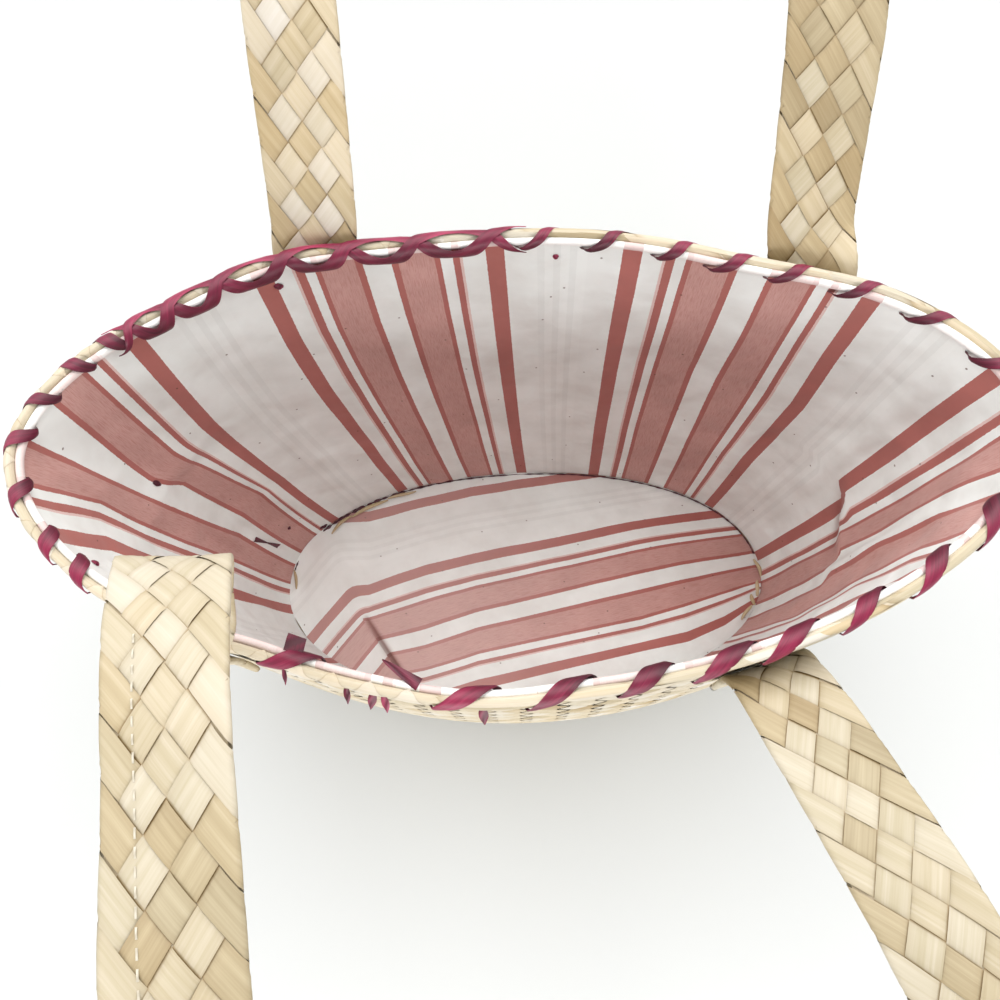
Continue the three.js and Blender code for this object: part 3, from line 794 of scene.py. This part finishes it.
def scrap_outline(form, s):
    if form == "bow":
        return 0.25 + 0.75 * np.abs(2 * s - 1)
    if form == "square":
        return np.ones(s.shape)
    if form == "leaf":
        return (1 - np.clip(s, 0, 0.98)) ** 0.6
    return np.sin(np.pi * np.clip(s, 0.02, 0.98)) ** (0.5 if form == "knot" else 0.8)


def scrap_shape(row, held):
    """A bit of ribbon held at a share of its length, as arc length on the rim and rise square to it."""
    s, q = grid(np.linspace(0, 1, 13), np.linspace(-1, 1, 7))
    turn, half = np.radians(row["turn"]), row["half"] * mm * scrap_outline(row["form"], s)
    run = (s - held) * row["long"] * mm
    start = np.interp(np.radians(row["angle"]), ring_angles, rim_arc)
    arc = start + run * np.cos(turn) - q * half * np.sin(turn)
    rise = run * np.sin(turn) + q * half * np.cos(turn)
    uv = np.stack([q * half + start, run + 2 * start], -1)
    return s, q, arc, rise, uv, {"tone": row["tone"] + 0.2 * np.sin(7 * s + 3 * q)}


def scrap_part(row):
    """A knot or bow on the lining, or a tail that leans out under the rim."""
    s, q, arc, rise, uv, look = scrap_shape(row, 0.5)
    angle, share = angle_at(arc), row["share"] + rise / rim_height
    swell = 1.5 if row["form"] == "knot" else 0.5
    height = 0.35 * mm + swell * mm * np.sin(np.pi * s) * (1 - q ** 2) + 0.2 * mm * np.sin(9 * s + 4 * q)
    inside = lining_out - wall_fold_depth(angle, share) - height
    out = tail_out + tail_lean * s ** 1.3 + height if row["form"] == "tail" else inside
    return sheet_part(wall_point(angle, share, out), uv, look)


hem_end_in, hem_end_lift = 1.0 * mm, 1.8 * mm
hem_ends = [
    {"angle": 241.0, "turn": 90, "long": 7.5, "half": 4.4, "form": "square", "tone": 0.05},
    {"angle": 255.9, "turn": 157, "long": 19.0, "half": 3.0, "form": "leaf", "tone": 0.2},
]


def hem_end(row):
    """An end of the lacing that lies in over the hem."""
    s, q, arc, rise, uv, look = scrap_shape(row, 0.0)
    lift = hem_end_lift + 0.25 * mm * np.sin(6 * s + 4 * q)
    return sheet_part(wall_point(angle_at(arc), 1.0, -hem_end_in - rise, lift), uv, look)


# The seam thread is real raffia, and its dark tone also paints the shade in the gap of the seam.
seam_line_height = 4.6
seam_angle, seam_side = grid(np.radians(np.linspace(8, 172, 330)), np.linspace(-1, 1, 5))
seam_wave = 0.5 + 0.5 * np.sin(95 * seam_angle) * np.sin(41 * seam_angle + 1)
seam_half = (0.2 + 0.6 * seam_wave + 1.1 * seam_wave * hump(np.degrees(seam_angle) - 138, 20)) * mm
seam_spots = wall_point(seam_angle, 0.0, -1.0 * mm + seam_side * seam_half)
seam_spots[..., 2] = (seam_line_height + 0.6 * (1 - seam_side ** 2)) * mm
seam_uv = np.stack([seam_side * mm, seam_angle * 0.15], -1)
knot_parts = [scrap_part(row) for row in scraps] + [hem_end(row) for row in hem_ends]
knot_parts.append(sheet_part(seam_spots, seam_uv, {"tone": -0.35}))
make_piece("raffia_knots", burgundy_raffia, knot_parts, "strip")

# Seam straws: loose ends of the same split palm leaf, straw coloured. They poke up through the seam
# round the base panel and lie along its edge.
straw_places = [
    {"x": -147.0, "y": 52.0, "turn": 42, "long": 22, "half": 1.4},
    {"x": -124.0, "y": 65.0, "turn": 28, "long": 32, "half": 1.6},
    {"x": -98.0, "y": 75.5, "turn": 18, "long": 24, "half": 1.3},
    {"x": -183.5, "y": 8.0, "turn": 100, "long": 16, "half": 1.2},
    {"x": 185.6, "y": 2.0, "turn": 98, "long": 15, "half": 1.5},
    {"x": 183.3, "y": -14.5, "turn": 70, "long": 13, "half": 1.7},
    {"x": 178.8, "y": -23.5, "turn": 95, "long": 9, "half": 1.6},
    {"x": 172.6, "y": -33.5, "turn": 55, "long": 15, "half": 1.4},
]
straw_height, straw_arch = 5.4, 2.2
straw_parts = []
for k, row in enumerate(straw_places):
    s, q = grid(np.linspace(0, 1, 13), np.linspace(-1, 1, 5))
    turn, half = np.radians(row["turn"]), row["half"] * mm * np.sin(np.pi * np.clip(s, 0.03, 0.97)) ** 0.4
    run = (s - 0.5) * row["long"] * mm
    bow = 1.2 * mm * np.sin(np.pi * s + k)
    x = row["x"] * mm + run * np.cos(turn) - (q * half + bow) * np.sin(turn)
    y = row["y"] * mm + run * np.sin(turn) + (q * half + bow) * np.cos(turn)
    z = (straw_height + straw_arch * np.sin(np.pi * s) + 0.7 * (1 - q ** 2)) * mm
    # The straw's sides are darkened with painted shade.
    look = {"tone": 0.5 + 0.1 * (k % 3), "warm": 0.9, "painted_shade": 0.35 * np.abs(q)}
    straw_parts.append(sheet_part(np.stack([x, y, z], -1), np.stack([q * half + k * 0.02, run], -1), look))
straws = make_piece("seam_straws", palm_leaf, straw_parts, "strip")

# Straps: two flat bands plaited from palm strips, which fold back round the edges. Each foot is sewn
# to the outside of the wall, and the loop leans away from the mouth. On each strap one stretch is
# darkened with painted shade.
strap_half = 21.5 * mm
strap_thick = 3.0 * mm
strip_lift = 0.65 * mm
foot_settle = 50 * mm
core_depth = 0.6 * mm
route_steps = 14
back_look = {
    "across": 15.8 * mm, "along": 20.8 * mm, "slant": 0.2, "seed": 41,
    "shaded_stretch": 0.5, "shaded_stretch_at": 0.74, "shaded_stretch_reach": 0.2,
    "tones": {
        "spread": 0.16,
        "rising": {"tone": 0.68, "warm": 0.3},
        "falling": {"tone": 0.56, "warm": 0.6},
    },
}
front_look = {
    "across": 15.2 * mm, "along": 21.0 * mm, "slant": 0.03, "seed": 51,
    "shaded_stretch": 0.36, "shaded_stretch_at": 0.58, "shaded_stretch_reach": 0.38,
    "tones": {
        "spread": 0.11,
        "rising": {"tone": 0.68, "warm": 0.03},
        "falling": {"tone": 0.61, "warm": 0.2},
    },
}


def feet(angle, rows):
    return [{"angle": angle, "drop": drop, "out": out} for drop, out in rows]


def free(x, y, z, face):
    return {"place": (x, y, z), "face": face}


back_route = feet(117.3, [(60, 5.7), (30, 6.3), (12, 9.8)]) + [
    free(-107.5, 121, 308, (0, 0.72, -0.7)),
    free(-107, 152, 338, (-0.06, 0.7, -0.71)),
    free(-106.5, 190, 373, (-0.29, 0.61, -0.74)),
    free(-106, 252, 408, (-0.7, 0.35, -0.61)),
    free(-90, 311, 419, (-0.79, 0.52, -0.33)),
    free(-45, 353, 413, (-0.5, 0.83, -0.24)),
    free(16, 366, 408, (0, 0.95, -0.3)),
    free(77, 345, 413, (0.5, 0.83, -0.24)),
    free(122, 300, 419, (0.79, 0.52, -0.33)),
    free(139, 240, 408, (0.7, 0.35, -0.61)),
    free(140.5, 176, 375, (0.29, 0.61, -0.74)),
    free(140.5, 137, 338, (0.06, 0.7, -0.71)),
    free(140, 106, 309, (0, 0.72, -0.7)),
] + feet(48.0, [(12, 9.8), (30, 6.3), (60, 5.7)])
front_route = feet(226.5, [(55, 6.3), (30, 7.0), (12, 10.6), (0, 12.5)]) + [
    free(-152, -86, 326, (0, -0.96, 0.27)),
    free(-148, -73, 343, (0, -0.9, 0.43)),
    free(-145.5, -64.5, 354, (0, -1, 0.05)),
    free(-141.5, -70, 367, (0, -0.75, -0.66)),
    free(-135, -93, 385, (0.05, -0.55, -0.84)),
    free(-131, -118, 392, (0.08, -0.12, -0.99)),
    free(-128, -150, 390, (0.05, 0.06, -1)),
    free(-123, -207, 385, (-0.28, 0, -0.96)),
    free(-116, -258, 380, (-0.7, 0, -0.71)),
    free(-88, -314, 372, (-0.79, -0.45, -0.42)),
    free(-30, -358, 359, (-0.5, -0.84, -0.2)),
    free(38, -376, 347, (0.2, -0.97, -0.1)),
    free(100, -360, 337, (0.68, -0.7, -0.2)),
    free(138, -315, 332, (0.84, -0.28, -0.46)),
    free(145, -258, 331, (0.68, 0.18, -0.71)),
    free(135.5, -214, 324, (0.28, 0.3, -0.91)),
    free(120, -165, 306, (0, 0.34, -0.94)),
    free(108, -130, 291.5, (-0.05, 0.3, -0.95)),
    free(102, -113, 283, (0.1, -0.5, -0.86)),
] + feet(299.2, [(34, 6.6), (48, 6.4), (62, 6.3)])


def through(points, per_step):
    """A centripetal Catmull-Rom curve through the points, with per_step places on each stretch."""
    points = np.asarray(points, dtype=float)
    ends = np.concatenate([[2 * points[0] - points[1]], points, [2 * points[-1] - points[-2]]])
    share = np.linspace(0, 1, per_step, endpoint=False)[:, None]
    line = []
    for a, b, c, d in zip(ends[:-3], ends[1:-2], ends[2:-1], ends[3:]):
        gap = [math.sqrt(np.linalg.norm(end - start)) for start, end in ((a, b), (b, c), (c, d))]
        gap[1] = gap[1] if gap[1] > 1e-4 else 1.0
        gap[0] = gap[0] if gap[0] > 1e-4 else gap[1]
        gap[2] = gap[2] if gap[2] > 1e-4 else gap[1]
        leave = ((b - a) / gap[0] - (c - a) / (gap[0] + gap[1]) + (c - b) / gap[1]) * gap[1]
        arrive = ((c - b) / gap[1] - (d - b) / (gap[1] + gap[2]) + (d - c) / gap[2]) * gap[1]
        square_part = 3 * (c - b) - 2 * leave - arrive
        cube_part = 2 * (b - c) + leave + arrive
        line.append(b + leave * share + square_part * share ** 2 + cube_part * share ** 3)
    return np.concatenate(line + [points[-1:]])


def strap_frames(route):
    """Middle line, faces and, where a foot lies on the round wall, the bend across it."""
    places, faces, bends = [], [], []
    beside = math.radians(5)
    for row in route:
        if "angle" in row:
            share = (rim_height - row["drop"] * mm - seam_height) / (rim_height - seam_height)
            angle, out = math.radians(row["angle"]), row["out"] * mm
            spot = wall_point(angle, share, out)
            ends = [wall_point(angle + turn, share, out) for turn in (beside, -beside)]
            ahead = ends[0] - ends[1]
            places.append(spot / mm)
            bends.append(8 * np.linalg.norm(spot - 0.5 * (ends[0] + ends[1])) / np.dot(ahead, ahead))
            faces.append(np.array([ahead[1], -ahead[0], 0]) / np.hypot(ahead[0], ahead[1]))
        else:
            places.append(np.array(row["place"], dtype=float))
            faces.append(np.array(row["face"], dtype=float) / np.linalg.norm(row["face"]))
            bends.append(0.0)
    middle = through(places, route_steps) * mm
    bend = np.interp(np.arange(len(middle)) / route_steps, np.arange(len(bends)), bends)
    look = through(faces, route_steps)
    arc = np.concatenate([[0], np.cumsum(np.linalg.norm(np.diff(middle, axis=0), axis=1))])
    along = np.gradient(middle, arc, axis=0)
    along /= np.linalg.norm(along, axis=1, keepdims=True)
    look = look - along * np.sum(look * along, axis=1, keepdims=True)
    look /= np.linalg.norm(look, axis=1, keepdims=True)
    return {"arc": arc, "middle": middle, "across": np.cross(along, look), "face": look, "bend": bend}


def strap_place(frames, arc):
    """Middle, across and face vectors of a strap at each arc length."""
    return [np.stack([np.interp(arc, frames["arc"], frames[key][:, k]) for k in range(3)], -1)
            for key in ("middle", "across", "face")]


def strap_surface(frames, inner, look):
    """Unrolled places on the strap's inner or outer face. Past the edge, the face turns round it."""
    flat_half = strap_half - strap_thick / 2
    core = strap_thick / 2 - strip_lift
    way = -1 if inner else 1

    def at(column, row, height):
        wide = column * look["across"]
        level = row * look["along"]
        settled = smooth(0, foot_settle, level) * smooth(0, foot_settle, frames["arc"][-1] - level)
        arc = np.clip(level + look["slant"] * settled * way * wide, 0, frames["arc"][-1])
        turn = np.clip((np.abs(wide) - flat_half) / core, 0, np.pi)
        past = np.maximum(0, np.abs(wide) - flat_half - np.pi * core)
        side = np.sign(wide) * (np.minimum(np.abs(wide), flat_half) + (core + height) * np.sin(turn) - past)
        folded = 0.35 * mm * smooth(1.6, 3.0, turn)
        sag = 0.5 * side ** 2 * np.interp(arc, frames["arc"], frames["bend"])
        deep = (core + height + folded) * np.cos(turn) - way * sag
        spots, across, face = strap_place(frames, arc)
        return spots + across * (way * side)[..., None] + face * (way * deep)[..., None]

    return at


def make_strap(name, node, route, look):
    frames = strap_frames(route)
    rows = round(frames["arc"][-1] / look["along"])
    look = dict(look, along=frames["arc"][-1] / rows)
    inner, outer = strap_surface(frames, True, look), strap_surface(frames, False, look)
    strip = math.hypot(look["across"], look["along"]) / 2
    edge_column = (strap_half - strap_thick / 2) / look["across"]
    wrap_column = (math.pi * (strap_thick / 2 - strip_lift) + 1.2 * mm) / look["across"]
    start_run = np.concatenate([plain_run[plain_run <= 0], [0.2]])
    over_edge = np.concatenate([start_run, np.linspace(0.35, 2 * (edge_column + wrap_column - 1), 16)])
    to_edge = np.concatenate([start_run, np.linspace(0.35, 2 * (edge_column - 1), 6)])
    face_sides = [
        {"surface": inner, "hand": -1, "run": over_edge, "seed": look["seed"]},
        {"surface": outer, "hand": 1, "run": to_edge, "seed": look["seed"] + 5},
    ]

    # Painted shade: the tone of one stretch of the strap is lowered, to darken it.
    def dim(row):
        return look["shaded_stretch"] * hump(row / rows - look["shaded_stretch_at"], look["shaded_stretch_reach"])

    parts = []
    for side in face_sides:
        hand, seed = side["hand"], side["seed"]
        middle = [(0, row, hand) for row in range(rows + 1)]
        middle += [(column, row + 0.5, -hand) for row in range(rows) for column in (-0.5, 0.5)]
        right = [(1, row, hand) for row in range(rows + 1)]
        left = [(-1, row, hand) for row in range(rows + 1)]
        for cells, run in ((middle, plain_run), (right, side["run"]), (left, -side["run"][::-1])):
            parts += plait(cells, side["surface"], strip, strip_lift, seed, look["tones"], run=run, dim=dim)
    core_rows, core_columns = grid(np.linspace(0, rows, rows * 4 + 1),
                                   np.linspace(-edge_column, edge_column, 7))
    core_uv = np.stack([core_columns * look["across"], core_rows * look["along"]], -1)
    core_height = np.full(core_rows.shape, -core_depth)
    # The core shows only through the gaps between strips, so its colour is darkened with painted shade.
    core_look = {"tone": 0.6, "warm": 0.5, "painted_shade": 0.3}
    parts.append(sheet_part(inner(core_columns, core_rows, core_height), core_uv, core_look))
    parts.append(sheet_part(outer(core_columns, core_rows, core_height), core_uv, core_look))
    piece = make_piece(name, palm_leaf, parts, "strip")
    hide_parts(node)
    return frames


make_strap("plaited_strap_back", "strap_back", back_route, back_look)
front_frames = make_strap("plaited_strap_front", "strap_front", front_route, front_look)

# Strap stitching: a row of white cotton machine stitches along the inner face of the front strap, from
# its fold forwards, a quarter of the way in from the edge.
stitch_pitch, stitch_long, stitch_half = 5.6 * mm, 3.4 * mm, 0.36 * mm
stitch_side = -10.0 * mm
stitch_start, stitch_end = 168 * mm, 370 * mm
# Twisted sewing cotton: the eye sees matt white dashes with a faint slant of the twist, which is drawn
# coarser than life so that it shows.
white_thread, thread_tree, twist_place = start_material("white_cotton_thread", "thread")
twist = add(thread_tree, "TexWave", {"bands_direction": "DIAGONAL"}, Vector=twist_place, Scale=1 / (6 * mm))
twist_stops = [(0.0, "#B4AC9A"), (1.0, "#C9C2B2")]
twist_colour = add(thread_tree, "ValToRGB", stops=twist_stops, Fac=twist.outputs[1])
add(thread_tree, thread_tree.nodes["Principled BSDF"], Base_Color=twist_colour, Roughness=0.8)
stitch_parts = []
for start_arc in np.arange(stitch_start, stitch_end, stitch_pitch):
    s, q = grid(np.linspace(0, 1, 7), np.linspace(-1, 1, 5))
    arc = start_arc + s * stitch_long
    middle, across, face = strap_place(front_frames, arc)
    side = stitch_side + q * stitch_half
    proud = strap_thick / 2 + (0.1 + 0.45 * np.sin(np.pi * s) * (1 - 0.6 * q ** 2)) * mm
    spots = middle + across * side[..., None] - face * proud[..., None]
    stitch_parts.append(sheet_part(spots, np.stack([q * stitch_half, arc], -1), {}))
make_piece("strap_stitching", white_thread, stitch_parts, "thread")

# Floor, light and camera: a plain matt floor, a room that is brighter behind the bag, one broad soft
# light above, one on each side and a low one that fills the floor in front. The camera is high over the
# front of the bag and looks down into it at the photograph's angle.
floor_mesh = bpy.data.meshes.new("floor")
floor_half = 6.0
floor_corners = [(-floor_half, -floor_half, 0), (floor_half, -floor_half, 0), (floor_half, floor_half, 0),
                 (-floor_half, floor_half, 0)]
floor_mesh.from_pydata(floor_corners, [], [(0, 1, 2, 3)])
floor_paint = bpy.data.materials.new("matt_white_board")
floor_paint.use_nodes = True
# Matt board: the eye sees an even pale grey with no gloss.
floor_shader = floor_paint.node_tree.nodes["Principled BSDF"]
add(floor_paint.node_tree, floor_shader, Base_Color=linear("#C8CACA"), Roughness=0.9)
floor_mesh.materials.append(floor_paint)
floor = bpy.data.objects.new("floor", floor_mesh)
bpy.context.scene.collection.objects.link(floor)

world = bpy.data.worlds.new("soft_studio")
world.use_nodes = True
sky = world.node_tree
way = add(sky, "SeparateXYZ", Vector=add(sky, "TexCoord").outputs["Generated"])
room = {"From_Min": -1.0, "From_Max": 1.0, "To_Min": 0.28, "To_Max": 1.28}
back_light = add(sky, "MapRange", Value=way.outputs[1], **room)
add(sky, sky.nodes["Background"], Color=linear("#F7F8F9"), Strength=back_light)
bpy.context.scene.world = world
bpy.context.scene.view_settings.view_transform = "Standard"


def soft_light(name, place, aim, size, power, colour):
    lamp = bpy.data.lights.new(name, "AREA")
    lamp.size = size
    lamp.energy = power
    lamp.color = linear(colour)[:3]
    holder = bpy.data.objects.new(name, lamp)
    holder.location = place
    holder.rotation_euler = (Vector(place) - Vector(aim)).to_track_quat("Z", "Y").to_euler()
    bpy.context.scene.collection.objects.link(holder)


soft_light("overhead_softbox", (0.0, 0.6, 1.8), (0.0, 0.0, 0.1), 1.9, 33, "#FFFDFA")
soft_light("left_softbox", (-1.5, 0.35, 1.25), (0.0, 0.0, 0.2), 1.3, 9, "#FFFDFA")
soft_light("right_softbox", (1.5, 0.35, 1.25), (0.0, 0.0, 0.2), 1.3, 8, "#FFFDFA")
soft_light("floor_fill", (0.0, -1.4, 0.42), (0.0, -0.4, 0.0), 1.0, 22, "#FFFFFF")

camera_place = (-23.44 * mm, -147.64 * mm, 669.53 * mm)
camera_right = (0.99914, -0.04122, -0.00436)
camera_up = (0.04055, 0.95033, 0.30858)
camera_back = (-0.00858, -0.30849, 0.95119)
view_data = bpy.data.cameras.new("photo_view")
view_data.sensor_width = 36
view_data.lens = 30.6
view_data.clip_start = 0.01
view = bpy.data.objects.new("photo_view", view_data)
view_rows = [[camera_right[k], camera_up[k], camera_back[k], camera_place[k]] for k in range(3)]
view.matrix_world = Matrix(view_rows + [[0, 0, 0, 1]])
bpy.context.scene.collection.objects.link(view)
bpy.context.scene.camera = view
